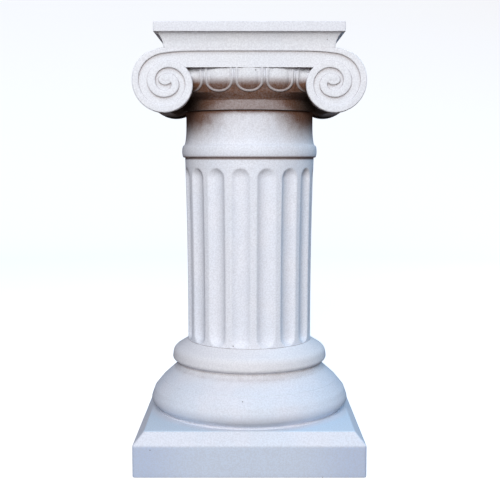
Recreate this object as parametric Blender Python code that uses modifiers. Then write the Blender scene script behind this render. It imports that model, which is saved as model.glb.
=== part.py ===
"""Short fluted column with an Ionic capital, cast in white stone, in three pieces that rest on each other.

Metres, +Z up. The front, with its two scrolls, faces -Y. The origin is the middle of the underside.
"""

import math

import bmesh
import bpy
from mathutils import Matrix, Vector

# Clearance between two pieces that rest on each other
JOINT_GAP = 0.0003
# How deep a piece reaches into another that it is joined to
ROOT = 0.004
# How far a cutter stands out of the surface that it cuts
CUTTER_REACH = 0.010
# Least distance between two neighbouring points of an outline
POINT_SPACING = 0.001
# Angles under which two faces count as one flat side, and over which an edge is shaded sharp
FLAT_ANGLE = math.radians(0.5)
SHARP_ANGLE = math.radians(30)

# Plinth
PLINTH_WIDTH = 0.389
PLINTH_FACE_HEIGHT = 0.054
PLINTH_SLOPE_HEIGHT = 0.020
PLINTH_SLOPE_RUN = 0.018

# Round mouldings of the base, from the plinth upwards
FOOT_FILLET_RADIUS = 0.168
FOOT_FILLET_HEIGHT = 0.0025
LOWER_TORUS_FOOT_RADIUS = 0.161
LOWER_TORUS_HEIGHT = 0.051
LOWER_TORUS_BULGE = 0.0165
CREASE_RADIUS = 0.160
SHOULDER_HEIGHT = 0.0245
SHOULDER_TOP_RADIUS = 0.1335
GROOVE_HEIGHT = 0.0085
GROOVE_RADIUS = 0.132
UPPER_TORUS_HEIGHT = 0.0205
UPPER_TORUS_TOP_RADIUS = 0.1365
UPPER_TORUS_BULGE = 0.0035
SEAT_SLOPE_HEIGHT = 0.019

# Shaft
SHAFT_RADIUS = 0.112
SHAFT_FLARE = 0.004
FLARE_START = 0.050
FLUTE_COUNT = 16
FLUTE_WIDTH = 0.029
FLUTE_DEPTH = 0.009
FLUTE_LENGTH = 0.3075
FLUTE_FOOT_MARGIN = 0.0018
FLUTE_TURN = math.radians(-6.6)
PLAIN_BAND_HEIGHT = 0.0195
RING_HEIGHT = 0.0216
RING_STEP = 0.0035
RING_BULGE = 0.0018
COVE_HEIGHT = 0.0326
NECK_RADIUS = 0.1135
NECK_HEIGHT = 0.0261

# Capital, from its bed upwards
BAND_RADIUS = 0.119
BAND_HEIGHT = 0.0178
ECHINUS_LIP = 0.002
ECHINUS_LIP_HEIGHT = 0.001
ECHINUS_OVERHANG = 0.0125
ECHINUS_HEIGHT = 0.0496
CANALIS_HEIGHT = 0.0309
CAPITAL_DEPTH = 0.280
PLATE_THICKNESS = 0.024
PLATE_LAP = 0.0003
CHANNEL_DEPTH = 0.003
ABACUS_WIDTH = 0.3134
ABACUS_FASCIA_HEIGHT = 0.016
ABACUS_FASCIA_STEP = 0.002
CAVETTO_HEIGHT = 0.025
CAVETTO_RUN = 0.013

# Scrolls: the outer edge is a spiral that loses one pitch of radius a turn
SCROLL_OFFSET = 0.1388
SCROLL_DROP = 0.0553
SCROLL_REACH = 0.0558
SCROLL_PITCH = 0.0235
SCROLL_RIM = 0.013
EYE_RADIUS = 0.0065
EYE_CLEARANCE = 0.0017

# Bolsters, the spools that join the front scrolls to the back ones
BOLSTER_OFFSET = 0.1447
BOLSTER_DROP = 0.0545
BOLSTER_END_RADIUS = 0.0485
BOLSTER_WAIST_RADIUS = 0.041
BOLSTER_BELT_WIDTH = 0.030
BOLSTER_BELT_STEP = 0.003

# Eggs, their rims and the darts between them
EGG_COUNT = 16
EGGS_EACH_SIDE = 2
EGG_HALF_WIDTH = 0.0130
EGG_HALF_HEIGHT = 0.0235
EGG_DEPTH = 0.0125
EGG_DROP = 0.0105
EGG_STAND = 0.0028
EGG_LEAN = math.radians(8)
EGG_RIM_THICKNESS = 0.0036
EGG_RIM_HALF_WIDTH = 0.0171
EGG_RIM_DROP = 0.0375
DART_HALF_WIDTH = 0.0022
DART_HEAD_HALF_WIDTH = 0.0042
DART_HEAD_HEIGHT = 0.012
DART_BARB_HEIGHT = 0.0084
DART_DROP = 0.0385

# Facets
TURN_STEPS = 48
BOLSTER_STEPS = 16
ARC_STEPS = 5
SCROLL_STEP = 20
FLUTE_SIDES = 12
EGG_RIM_SIDES = 4

# Levels, from the ground up
PLINTH_TOP = PLINTH_FACE_HEIGHT + PLINTH_SLOPE_HEIGHT
FILLET_TOP = PLINTH_TOP + FOOT_FILLET_HEIGHT
CREASE_LEVEL = FILLET_TOP + LOWER_TORUS_HEIGHT
SHOULDER_TOP = CREASE_LEVEL + SHOULDER_HEIGHT
GROOVE_TOP = SHOULDER_TOP + GROOVE_HEIGHT
UPPER_TORUS_TOP = GROOVE_TOP + UPPER_TORUS_HEIGHT
BASE_TOP = UPPER_TORUS_TOP + SEAT_SLOPE_HEIGHT
SHAFT_FOOT = BASE_TOP + JOINT_GAP
FLUTE_FOOT = SHAFT_FOOT + FLUTE_FOOT_MARGIN
FLUTE_TOP = FLUTE_FOOT + FLUTE_LENGTH
RING_FOOT = FLUTE_TOP + PLAIN_BAND_HEIGHT
RING_TOP = RING_FOOT + RING_HEIGHT
COVE_TOP = RING_TOP + COVE_HEIGHT
SHAFT_TOP = COVE_TOP + NECK_HEIGHT
CAPITAL_FOOT = SHAFT_TOP + JOINT_GAP
BAND_TOP = CAPITAL_FOOT + BAND_HEIGHT
LIP_TOP = BAND_TOP + ECHINUS_LIP_HEIGHT
CANALIS_FOOT = LIP_TOP + ECHINUS_HEIGHT
ABACUS_FOOT = CANALIS_FOOT + CANALIS_HEIGHT
FASCIA_FOOT = ABACUS_FOOT + CAVETTO_HEIGHT
ABACUS_TOP = FASCIA_FOOT + ABACUS_FASCIA_HEIGHT
SCROLL_CENTRE = ABACUS_FOOT - SCROLL_DROP

# Turn in degrees, from the top outwards, at which the sunk channel closes against the eye
SCROLL_END = 90 + 360 * (SCROLL_REACH - SCROLL_RIM - EYE_RADIUS - EYE_CLEARANCE) / SCROLL_PITCH

WHITE_STONE = (0.78, 0.79, 0.84, 1.0)


def clear_scene():
    for old in list(bpy.data.objects):
        bpy.data.objects.remove(old, do_unlink=True)


def new_collection(name, helpers=False):
    collection = bpy.data.collections.new(name)
    bpy.context.scene.collection.children.link(collection)
    collection.hide_render = helpers
    return collection


clear_scene()
PARTS = new_collection("ionic_column")
CUTTERS = new_collection("cutters", helpers=True)


def add_object(name, data, collection):
    made = bpy.data.objects.new(name, data)
    collection.objects.link(made)
    return made


def as_helper(piece):
    piece.hide_render = True
    piece.display_type = "WIRE"
    return piece


def settled(piece, collection):
    """Replaces an object by one plain mesh of what its modifiers or its curve make, in world space."""
    bpy.context.view_layer.update()
    graph = bpy.context.evaluated_depsgraph_get()
    mesh = bpy.data.meshes.new_from_object(piece.evaluated_get(graph))
    mesh.transform(piece.matrix_world)
    if piece.matrix_world.is_negative:
        mesh.flip_normals()
    work = bmesh.new()
    work.from_mesh(mesh)
    bmesh.ops.remove_doubles(work, verts=work.verts, dist=0.000001)
    work.to_mesh(mesh)
    work.free()
    name = piece.name
    bpy.data.objects.remove(piece, do_unlink=True)
    return add_object(name, mesh, collection)


def turned(name, profile, steps, collection, smooth=True):
    """A body turned about Z from (radius, height) points that run down its outer side."""
    mesh = bpy.data.meshes.new(name)
    edges = [(i, i + 1) for i in range(len(profile) - 1)]
    mesh.from_pydata([(radius, 0, height) for radius, height in profile], edges, [])
    body = add_object(name, mesh, collection)
    screw = body.modifiers.new("turn", "SCREW")
    screw.steps = steps
    screw.render_steps = steps
    screw.use_merge_vertices = True
    screw.merge_threshold = 0.00001
    screw.use_smooth_shade = smooth
    return settled(body, collection)


def merge_flat_faces(mesh):
    """Makes one face of each flat side, so that a Boolean meets no thin triangles there."""
    work = bmesh.new()
    work.from_mesh(mesh)
    bmesh.ops.dissolve_limit(work, angle_limit=FLAT_ANGLE, verts=work.verts, edges=work.edges)
    work.to_mesh(mesh)
    work.free()


def plate(name, outline, thickness, centre_y):
    """A flat outline of (x, z) points, given thickness along Y."""
    curve = bpy.data.curves.new(name, "CURVE")
    curve.dimensions = "2D"
    curve.fill_mode = "BOTH"
    curve.extrude = thickness / 2
    spline = curve.splines.new("POLY")
    spline.points.add(len(outline) - 1)
    for point, (x, z) in zip(spline.points, outline):
        point.co = (x, z, 0, 1)
    spline.use_cyclic_u = True
    body = add_object(name, curve, CUTTERS)
    body.matrix_world = Matrix.Translation((0, centre_y, 0)) @ Matrix.Rotation(math.pi / 2, 4, "X")
    body = settled(body, CUTTERS)
    merge_flat_faces(body.data)
    return body


def tube(name, points, radii, sides):
    """A tube along a path, with its own radius at each point."""
    curve = bpy.data.curves.new(name, "CURVE")
    curve.dimensions = "3D"
    curve.bevel_depth = 1.0
    curve.bevel_resolution = sides // 2 - 2
    curve.use_fill_caps = True
    spline = curve.splines.new("POLY")
    spline.points.add(len(points) - 1)
    for point, place, radius in zip(spline.points, points, radii):
        point.co = (*place, 1)
        point.radius = radius
    return settled(add_object(name, curve, CUTTERS), CUTTERS)


def joined(name, pieces):
    """One helper object from several that stay clear of each other."""
    work = bmesh.new()
    for piece in pieces:
        work.from_mesh(piece.data)
        bpy.data.objects.remove(piece, do_unlink=True)
    mesh = bpy.data.meshes.new(name)
    work.to_mesh(mesh)
    work.free()
    return add_object(name, mesh, CUTTERS)


def combine(body, operation, tool):
    as_helper(tool)
    boolean = body.modifiers.new(tool.name, "BOOLEAN")
    boolean.operation = operation
    boolean.solver = "EXACT"
    boolean.object = tool


def finish(body, material):
    body.data.materials.clear()
    body.data.materials.append(material)
    body.data.set_sharp_from_angle(angle=SHARP_ANGLE)


def stone(name):
    material = bpy.data.materials.new(name)
    material.use_nodes = True
    surface = material.node_tree.nodes["Principled BSDF"]
    surface.inputs["Base Color"].default_value = WHITE_STONE
    surface.inputs["Roughness"].default_value = 0.75
    surface.inputs["Metallic"].default_value = 0.0
    return material


def bulge(foot, top, depth, steps=ARC_STEPS):
    """Points of a convex moulding, from its top down to its foot, standing out by depth halfway."""
    points = []
    for i in range(steps + 1):
        angle = math.pi * i / steps
        share = (1 - math.cos(angle)) / 2
        radius = top[0] + (foot[0] - top[0]) * share + depth * math.sin(angle)
        points.append((radius, top[1] + (foot[1] - top[1]) * share))
    return points


def square_stack(name, levels):
    """A four-sided body from (half width, height) levels that run down."""
    corners = [(half * math.sqrt(2), height) for half, height in levels]
    body = turned(name, corners, 4, CUTTERS, smooth=False)
    body.data.transform(Matrix.Rotation(math.pi / 4, 4, "Z"))
    return body


def make_base():
    half = PLINTH_WIDTH / 2
    top_half = half - PLINTH_SLOPE_RUN
    levels = [(0, PLINTH_TOP), (top_half, PLINTH_TOP), (half, PLINTH_FACE_HEIGHT), (half, 0), (0, 0)]
    plinth = square_stack("plinth", levels)
    profile = [(0, BASE_TOP), (SHAFT_RADIUS, BASE_TOP)]
    upper_edge = (UPPER_TORUS_TOP_RADIUS, UPPER_TORUS_TOP)
    profile += bulge((GROOVE_RADIUS, GROOVE_TOP), upper_edge, UPPER_TORUS_BULGE)
    profile.append((SHOULDER_TOP_RADIUS, SHOULDER_TOP))
    lower_foot = (LOWER_TORUS_FOOT_RADIUS, FILLET_TOP)
    profile += bulge(lower_foot, (CREASE_RADIUS, CREASE_LEVEL), LOWER_TORUS_BULGE)
    profile += [(FOOT_FILLET_RADIUS, FILLET_TOP), (FOOT_FILLET_RADIUS, PLINTH_TOP - ROOT)]
    profile.append((0, PLINTH_TOP - ROOT))
    base = turned("base", profile, TURN_STEPS, PARTS)
    combine(base, "UNION", plinth)
    return base


def shaft_radius(height):
    """The fluted part widens slowly towards the ring."""
    start = SHAFT_FOOT + FLARE_START
    share = max(0.0, (height - start) / (RING_FOOT - start))
    return SHAFT_RADIUS + SHAFT_FLARE * share * share


def shaft_profile():
    ring_radius = SHAFT_RADIUS + SHAFT_FLARE + RING_STEP
    profile = [(0, SHAFT_TOP), (NECK_RADIUS, SHAFT_TOP)]
    for i in range(ARC_STEPS):
        angle = math.pi / 2 * (1 - i / (ARC_STEPS - 1))
        radius = NECK_RADIUS + (ring_radius - NECK_RADIUS) * (1 - math.sin(angle))
        profile.append((radius, RING_TOP + COVE_HEIGHT * (1 - math.cos(angle))))
    profile += bulge((ring_radius, RING_FOOT), (ring_radius, RING_TOP), RING_BULGE, 4)[1:]
    stations = 4
    for i in range(stations + 1):
        height = RING_FOOT - (RING_FOOT - SHAFT_FOOT - FLARE_START) * i / stations
        profile.append((shaft_radius(height), height))
    profile += [(SHAFT_RADIUS, SHAFT_FOOT), (0, SHAFT_FOOT)]
    return profile


def make_flute(index):
    """A cutter that lies along the shaft's side, with round ends."""
    half = FLUTE_WIDTH / 2
    radius = (half * half + FLUTE_DEPTH * FLUTE_DEPTH) / (2 * FLUTE_DEPTH)
    edge_drop = SHAFT_RADIUS - math.sqrt(SHAFT_RADIUS * SHAFT_RADIUS - half * half)
    stand_out = radius - FLUTE_DEPTH - edge_drop
    low = FLUTE_FOOT + half
    high = FLUTE_TOP - half
    heights = []
    radii = []
    end_steps = 3
    end_angles = [math.pi / 2 * (i + 0.35) / end_steps for i in range(end_steps)]
    for angle in end_angles:
        heights.append(low - radius * math.cos(angle))
        radii.append(radius * math.sin(angle))
    stations = 4
    for i in range(stations):
        heights.append(low + (high - low) * i / (stations - 1))
        radii.append(radius)
    for angle in reversed(end_angles):
        heights.append(high + radius * math.cos(angle))
        radii.append(radius * math.sin(angle))
    turn = Matrix.Rotation(FLUTE_TURN + 2 * math.pi * index / FLUTE_COUNT, 3, "Z")
    path = []
    for height in heights:
        along = min(max(height, low), high)
        path.append(turn @ Vector((0, -(shaft_radius(along) + stand_out), height)))
    return tube("flute", path, radii, FLUTE_SIDES)


def make_shaft():
    shaft = turned("shaft", shaft_profile(), TURN_STEPS, PARTS)
    combine(shaft, "DIFFERENCE", joined("flutes", [make_flute(i) for i in range(FLUTE_COUNT)]))
    return shaft


def scroll_radius(turn):
    """Radius of the scroll's outer edge, where turn is in degrees from the top, outwards."""
    return SCROLL_REACH - SCROLL_PITCH * (turn - 90) / 360


def scroll_point(radius, turn):
    angle = math.radians(turn)
    return (SCROLL_OFFSET + radius * math.sin(angle), SCROLL_CENTRE + radius * math.cos(angle))


def both_sides(half):
    """The outline whose right half is given, from the middle line round to the middle line."""
    return half + [(-x, z) for x, z in reversed(half) if x > 0]


def scroll_outline():
    """Right half of a front plate: the top line, the scroll and the foot of the channel between the scrolls."""
    top = ABACUS_FOOT + PLATE_LAP
    half = []
    for turn in range(0, 360, SCROLL_STEP):
        x, z = scroll_point(scroll_radius(turn), turn)
        if turn > 270 and z > CANALIS_FOOT - POINT_SPACING:
            break
        half.append((x, min(z, top)))
    half.append((half[-1][0] + POINT_SPACING, CANALIS_FOOT))
    return half


def channel_outline():
    """Right half of the sunk channel, from the middle line into the scroll and back."""
    rim_under = SCROLL_CENTRE + scroll_radius(0) - SCROLL_RIM
    half = [(0, rim_under)]
    steps = round(SCROLL_END / SCROLL_STEP)
    turns = [SCROLL_END * i / steps for i in range(-2, steps + 1)]
    for turn in turns[2:]:
        half.append(scroll_point(scroll_radius(turn) - SCROLL_RIM, turn))
    for turn in reversed(turns):
        radius = max(scroll_radius(turn + 360), EYE_RADIUS)
        half.append(scroll_point(radius, turn))
    low = CANALIS_FOOT - ROOT
    half += [(half[-1][0] - ROOT, low), (0, low)]
    return half


def make_bolster(side):
    """A waisted spool with a plain belt round its middle."""
    half_length = CAPITAL_DEPTH / 2 - PLATE_THICKNESS / 2
    plate_back = CAPITAL_DEPTH / 2 - PLATE_THICKNESS
    belt = BOLSTER_BELT_WIDTH / 2
    profile = [(0, half_length), (BOLSTER_END_RADIUS, half_length)]
    for i in range(1, ARC_STEPS):
        angle = math.pi / 2 * i / (ARC_STEPS - 1)
        radius = BOLSTER_END_RADIUS - (BOLSTER_END_RADIUS - BOLSTER_WAIST_RADIUS) * math.sin(angle)
        profile.append((radius, plate_back - (plate_back - belt) * (i - 1) / ARC_STEPS))
    belt_radius = BOLSTER_WAIST_RADIUS + BOLSTER_BELT_STEP
    profile += [(BOLSTER_WAIST_RADIUS, belt), (belt_radius, belt)]
    profile += [(radius, -along) for radius, along in reversed(profile)]
    bolster = turned("bolster", profile, BOLSTER_STEPS, CUTTERS)
    place = Vector((side * BOLSTER_OFFSET, 0, ABACUS_FOOT - BOLSTER_DROP))
    bolster.data.transform(Matrix.Translation(place) @ Matrix.Rotation(math.pi / 2, 4, "X"))
    return bolster


def echinus_radius(height):
    """The quarter round under the channel, upright at its top."""
    share = min(1.0, max(0.0, (height - LIP_TOP) / ECHINUS_HEIGHT))
    return BAND_RADIUS + ECHINUS_LIP + ECHINUS_OVERHANG * math.sqrt(1 - (1 - share) ** 2)


def make_echinus():
    profile = [(0, CANALIS_FOOT + ROOT), (echinus_radius(CANALIS_FOOT), CANALIS_FOOT + ROOT)]
    for i in range(ARC_STEPS + 1):
        angle = math.pi / 2 * (1 - i / ARC_STEPS)
        height = LIP_TOP + ECHINUS_HEIGHT * (1 - math.cos(angle))
        profile.append((echinus_radius(height), height))
    profile += [(BAND_RADIUS + ECHINUS_LIP, BAND_TOP), (BAND_RADIUS, BAND_TOP)]
    profile += [(BAND_RADIUS, CAPITAL_FOOT), (0, CAPITAL_FOOT)]
    return turned("echinus", profile, TURN_STEPS, CUTTERS)


def on_echinus(across, height, stand):
    """A point on the front of the echinus, across along its round side and stand out of it."""
    radius = echinus_radius(height)
    angle = across / radius
    return Vector((math.sin(angle), -math.cos(angle), 0)) * (radius + stand) + Vector((0, 0, height))


def make_egg():
    work = bmesh.new()
    bmesh.ops.create_uvsphere(work, u_segments=8, v_segments=6, radius=1.0)
    size = Matrix.Diagonal((EGG_HALF_WIDTH, EGG_DEPTH, EGG_HALF_HEIGHT, 1))
    height = CANALIS_FOOT - EGG_DROP
    place = Vector((0, -(echinus_radius(height) + EGG_STAND - EGG_DEPTH), height))
    lean = Matrix.Rotation(EGG_LEAN, 4, "X")
    bmesh.ops.transform(work, matrix=Matrix.Translation(place) @ lean @ size, verts=work.verts)
    mesh = bpy.data.meshes.new("egg")
    work.to_mesh(mesh)
    work.free()
    return add_object("egg", mesh, CUTTERS)


def make_egg_rim():
    """The raised edge that hangs round an egg like a U."""
    radius = EGG_RIM_THICKNESS / 2
    foot = CANALIS_FOOT - EGG_RIM_DROP
    bend = foot + EGG_RIM_HALF_WIDTH
    across_and_height = [(EGG_RIM_HALF_WIDTH, CANALIS_FOOT + ROOT / 2)]
    steps = 8
    for i in range(steps + 1):
        angle = math.pi * i / steps
        across = EGG_RIM_HALF_WIDTH * math.cos(angle)
        across_and_height.append((across, bend - EGG_RIM_HALF_WIDTH * math.sin(angle)))
    across_and_height.append((-EGG_RIM_HALF_WIDTH, CANALIS_FOOT + ROOT / 2))
    path = [on_echinus(across, height, radius / 3) for across, height in across_and_height]
    return tube("egg rim", path, [radius] * len(path), EGG_RIM_SIDES)


def make_dart():
    """A thin square rod that ends in a small arrow head."""
    drop = DART_DROP
    head = DART_HEAD_HEIGHT
    profile = [(0, ROOT / 2), (DART_HALF_WIDTH, ROOT / 2), (DART_HALF_WIDTH, head - drop)]
    profile += [(DART_HEAD_HALF_WIDTH, DART_BARB_HEIGHT - drop), (0, -drop)]
    dart = turned("dart", profile, 4, CUTTERS, smooth=False)
    top = on_echinus(0, CANALIS_FOOT, 0)
    foot = on_echinus(0, CANALIS_FOOT - drop, 0)
    lean = math.atan2(foot.y - top.y, drop)
    dart.data.transform(Matrix.Translation(top) @ Matrix.Rotation(lean, 4, "X"))
    return dart


def make_egg_and_dart():
    """Eggs in their rims on the middle of each face, and the darts between them."""
    pieces = []
    pitch = 2 * math.pi / EGG_COUNT
    for facing in (0, math.pi):
        for i in range(-EGGS_EACH_SIDE, EGGS_EACH_SIDE + 1):
            turn = Matrix.Rotation(facing + i * pitch, 4, "Z")
            for made in (make_egg(), make_egg_rim()):
                made.data.transform(turn)
                pieces.append(made)
        for i in range(-EGGS_EACH_SIDE, EGGS_EACH_SIDE):
            dart = make_dart()
            dart.data.transform(Matrix.Rotation(facing + (i + 0.5) * pitch, 4, "Z"))
            pieces.append(dart)
    return joined("egg and dart", pieces)


def make_abacus():
    """The square top slab with a hollow moulding below its face."""
    half = ABACUS_WIDTH / 2
    hollow_top = half - ABACUS_FASCIA_STEP
    levels = [(0, ABACUS_TOP), (half, ABACUS_TOP), (half, FASCIA_FOOT)]
    for i in range(ARC_STEPS + 1):
        angle = math.pi / 2 * i / ARC_STEPS
        out = hollow_top - CAVETTO_RUN * math.sin(angle)
        levels.append((out, FASCIA_FOOT - CAVETTO_HEIGHT * (1 - math.cos(angle))))
    levels.append((0, ABACUS_FOOT))
    return square_stack("abacus", levels)


def make_block():
    """The core between the two plates."""
    work = bmesh.new()
    bmesh.ops.create_cube(work, size=1.0)
    low = CANALIS_FOOT + ROOT / 2
    high = ABACUS_FOOT + ROOT / 2
    size = Matrix.Diagonal((2 * SCROLL_OFFSET, CAPITAL_DEPTH - PLATE_THICKNESS, high - low, 1))
    bmesh.ops.transform(work, matrix=Matrix.Translation((0, 0, (low + high) / 2)) @ size, verts=work.verts)
    mesh = bpy.data.meshes.new("block")
    work.to_mesh(mesh)
    work.free()
    return add_object("block", mesh, CUTTERS)


def make_capital():
    face = CAPITAL_DEPTH / 2
    capital = make_echinus()
    capital.name = "capital"
    CUTTERS.objects.unlink(capital)
    PARTS.objects.link(capital)
    outline = both_sides(scroll_outline())
    channel = both_sides(channel_outline())
    combine(capital, "UNION", make_block())
    for side in (-1, 1):
        combine(capital, "UNION", make_bolster(side))
    for side in (-1, 1):
        middle = side * (face - PLATE_THICKNESS / 2)
        combine(capital, "UNION", plate("scroll plate", outline, PLATE_THICKNESS, middle))
    combine(capital, "UNION", make_abacus())
    for side in (-1, 1):
        middle = side * (face - CHANNEL_DEPTH + (CHANNEL_DEPTH + CUTTER_REACH) / 2)
        combine(capital, "DIFFERENCE", plate("channel", channel, CHANNEL_DEPTH + CUTTER_REACH, middle))
    combine(capital, "UNION", make_egg_and_dart())
    return capital


for make, piece_name in ((make_base, "base"), (make_shaft, "shaft"), (make_capital, "capital")):
    finish(make(), stone(f"{piece_name} stone"))
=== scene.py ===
# %% [markdown]
# # A short Ionic column, cast in white stone
#
# The object is a display column about 0.75 m tall. It comes in three castings that rest on each other:
# a square base with round mouldings, a fluted shaft, and a capital with two pairs of scrolls. The CAD
# model fixes every size. This lesson dresses it: it makes each casting again with soft edges and fine
# carving, and gives it the look of matte plaster.
#
# The first cell loads the CAD model.

import math

import bmesh
import bpy
from mathutils import Matrix, Vector


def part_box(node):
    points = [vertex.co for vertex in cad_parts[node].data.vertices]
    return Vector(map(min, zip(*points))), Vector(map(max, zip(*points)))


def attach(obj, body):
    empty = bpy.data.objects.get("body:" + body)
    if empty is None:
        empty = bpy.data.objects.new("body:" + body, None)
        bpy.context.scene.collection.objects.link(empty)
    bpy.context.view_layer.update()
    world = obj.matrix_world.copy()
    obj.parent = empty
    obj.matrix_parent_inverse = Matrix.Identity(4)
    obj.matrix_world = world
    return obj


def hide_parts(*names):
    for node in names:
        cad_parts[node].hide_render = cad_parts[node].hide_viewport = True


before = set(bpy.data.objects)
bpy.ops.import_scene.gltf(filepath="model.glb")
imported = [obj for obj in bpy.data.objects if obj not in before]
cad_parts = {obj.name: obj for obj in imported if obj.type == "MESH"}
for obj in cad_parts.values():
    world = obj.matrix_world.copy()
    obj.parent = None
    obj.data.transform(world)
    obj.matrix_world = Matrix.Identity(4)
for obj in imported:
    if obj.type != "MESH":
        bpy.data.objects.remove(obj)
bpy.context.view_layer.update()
print("CAD nodes:", ", ".join(sorted(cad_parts)))

# %% [markdown]
# ## Camera
#
# The picture was taken from a little above the middle of the column, with a short telephoto lens. A
# camera is three choices: where it stands, where it points and how wide it sees. The place comes from
# the ellipses of the rings, which get rounder the further they lie below the eye. The slight shift
# moves the column's axis to where it is in the picture, without turning the camera.

# %% Camera
FOCAL_PIXELS = 950
PICTURE_PIXELS = 500
AXIS_SHIFT_PIXELS = 0.6
SENSOR_MM = 36
EYE_DISTANCE = 1.727
EYE_HEIGHT = 0.532
LOOK_DOWN = 5.65

lens = bpy.data.cameras.new("camera")
lens.sensor_width = SENSOR_MM
lens.lens = FOCAL_PIXELS / PICTURE_PIXELS * SENSOR_MM
lens.shift_x = AXIS_SHIFT_PIXELS / PICTURE_PIXELS
camera = bpy.data.objects.new("camera", lens)
camera.location = (0, -EYE_DISTANCE, EYE_HEIGHT)
camera.rotation_euler = (math.radians(90 - LOOK_DOWN), 0, 0)
bpy.context.scene.collection.objects.link(camera)
bpy.context.scene.camera = camera
print(f"lens {lens.lens:.1f} mm, {EYE_DISTANCE:.2f} m from the axis")

# %% [markdown]
# ## Nodes as Python expressions
#
# Materials and Geometry Nodes both end up as trees of small nodes. Adding each Math node by hand hides
# the formula, so a `Wire` stands for a socket and turns `a * b + 1` into the two Math nodes it needs.
# Every other kind of node comes from `add_node`: its type, then its settings, then its sockets.

# %% Wires and nodes
class Wire:
    """An output socket in a Python expression."""

    def __init__(self, tree, socket):
        self.tree = tree
        self.socket = socket

    def math(self, operation, *others):
        return maths(self.tree, operation, self, *others)

    def other(self, name):
        return Wire(self.tree, self.socket.node.outputs[name])

    def __add__(self, value):
        return self.math("ADD", value)

    def __sub__(self, value):
        return self.math("SUBTRACT", value)

    def __mul__(self, value):
        return self.math("MULTIPLY", value)

    def __truediv__(self, value):
        return self.math("DIVIDE", value)

    def __rsub__(self, value):
        return maths(self.tree, "SUBTRACT", value, self)

    def __rtruediv__(self, value):
        return maths(self.tree, "DIVIDE", value, self)

    __radd__ = __add__
    __rmul__ = __mul__


def add_node(tree, kind, settings=None, sockets=None, output=0):
    """Adds a node, sets it up, feeds its sockets and returns one of its outputs."""
    node = tree.nodes.new(kind)
    for name, value in (settings or {}).items():
        setattr(node, name, value)
    for key, value in (sockets or {}).items():
        if isinstance(value, Wire):
            tree.links.new(value.socket, node.inputs[key])
        else:
            node.inputs[key].default_value = value
    return Wire(tree, node.outputs[output])


def maths(tree, operation, *values):
    return add_node(tree, "ShaderNodeMath", {"operation": operation}, dict(enumerate(values)))


# %% [markdown]
# ## The stone
#
# The real surface is white plaster or cast stone: matte, faintly blue-lavender, with a fine grain and
# a few pinholes where air was trapped in the mould. A picture of plaster could be wrapped round it,
# but noise in object coordinates has no seams and keeps its true size in millimetres on every piece.
# The helpers below make such noise, mix colours, and turn a measure such as the height of a point
# into a mask, which is 1 where a stain or painted shade lies and 0 elsewhere.

# %% Colours, noise and masks
def grain(tree, place, per_metre, detail):
    sockets = {"Vector": place, "Scale": per_metre, "Detail": detail}
    return add_node(tree, "ShaderNodeTexNoise", None, sockets)


def blend_colours(tree, share, first, second):
    """Goes from the first colour to the second. A colour is three numbers or a wire."""
    pair = [value if isinstance(value, Wire) else (*value, 1) for value in (first, second)]
    settings = {"data_type": "RGBA", "clamp_factor": True}
    return add_node(tree, "ShaderNodeMix", settings, {0: share, 6: pair[0], 7: pair[1]}, 2)


def between(wire, low, high):
    """A smooth step from 0 at low to 1 at high."""
    settings = {"interpolation_type": "SMOOTHSTEP"}
    sockets = {"Value": wire, "From Min": low, "From Max": high}
    return add_node(wire.tree, "ShaderNodeMapRange", settings, sockets)


def strip(wire, rise_low, rise_high, fall_low, fall_high):
    """1 on a strip of values, with a soft edge on each side of it."""
    return between(wire, rise_low, rise_high) * (1 - between(wire, fall_low, fall_high))


def coordinates(tree, place):
    """The three coordinates of a point, the last of them its height."""
    east = add_node(tree, "ShaderNodeSeparateXYZ", None, {"Vector": place})
    return east, east.other("Y"), east.other("Z")


def from_axis(east, north):
    """Distance of a point from the column's axis."""
    return (east * east + north * north).math("SQRT")


# %% [markdown]
# ## Dust and painted shade
#
# A warm brown colour stands for dust and painted shade together: under the overhangs, in the grooves
# and round the carving. An Ambient Occlusion node measures how shut in a point is, wherever the eye
# stands, but it darkens every hollow alike. On the real column the neck and the lower half of the egg
# row are nearly brown, while the flutes are clean. So each casting has a rule of its own, which adds
# this dust and painted shade or takes it off by height and by distance from the axis, in metres, and
# gives back the body's colour, the share of dust and shade, and their colour.

# %% Shadow of the overhangs
# Colour of dust and painted shade together
DUST_AND_SHADE_COLOUR = (0.130, 0.052, 0.025)
# Painted deep shade, nearly black, under the bolsters and beside the shaft
DEEP_SHADE_COLOUR = (0.012, 0.010, 0.008)


def sky_shadow(tree, reach):
    """1 where an overhang within reach hides the sky, 0 in the open."""
    normal = add_node(tree, "ShaderNodeNewGeometry", output="Normal")
    raised = add_node(tree, "ShaderNodeVectorMath", {"operation": "ADD"}, {0: normal, 1: (0, 0, 0.9)})
    upwards = add_node(tree, "ShaderNodeVectorMath", {"operation": "NORMALIZE"}, {0: raised})
    sockets = {"Distance": reach, "Normal": upwards}
    return 1 - add_node(tree, "ShaderNodeAmbientOcclusion", {"samples": 12}, sockets, "AO")


# %% Tones, dust and painted shade of the base
PLINTH_FACE_HEIGHT = 0.054
PLINTH_TOP = 0.074
PLINTH_FACE_SHADE = (0.585, 0.665, 0.80)
PLINTH_CORNER_SHADE = (0.485, 0.57, 0.745)
PLINTH_TOP_BLUE_LIGHT = (0.65, 0.775, 0.90)
UPPER_MOULDING_COLOUR = (0.765, 0.765, 0.80)
BELLY_SHADE_COLOUR = (0.28, 0.31, 0.40)


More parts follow.
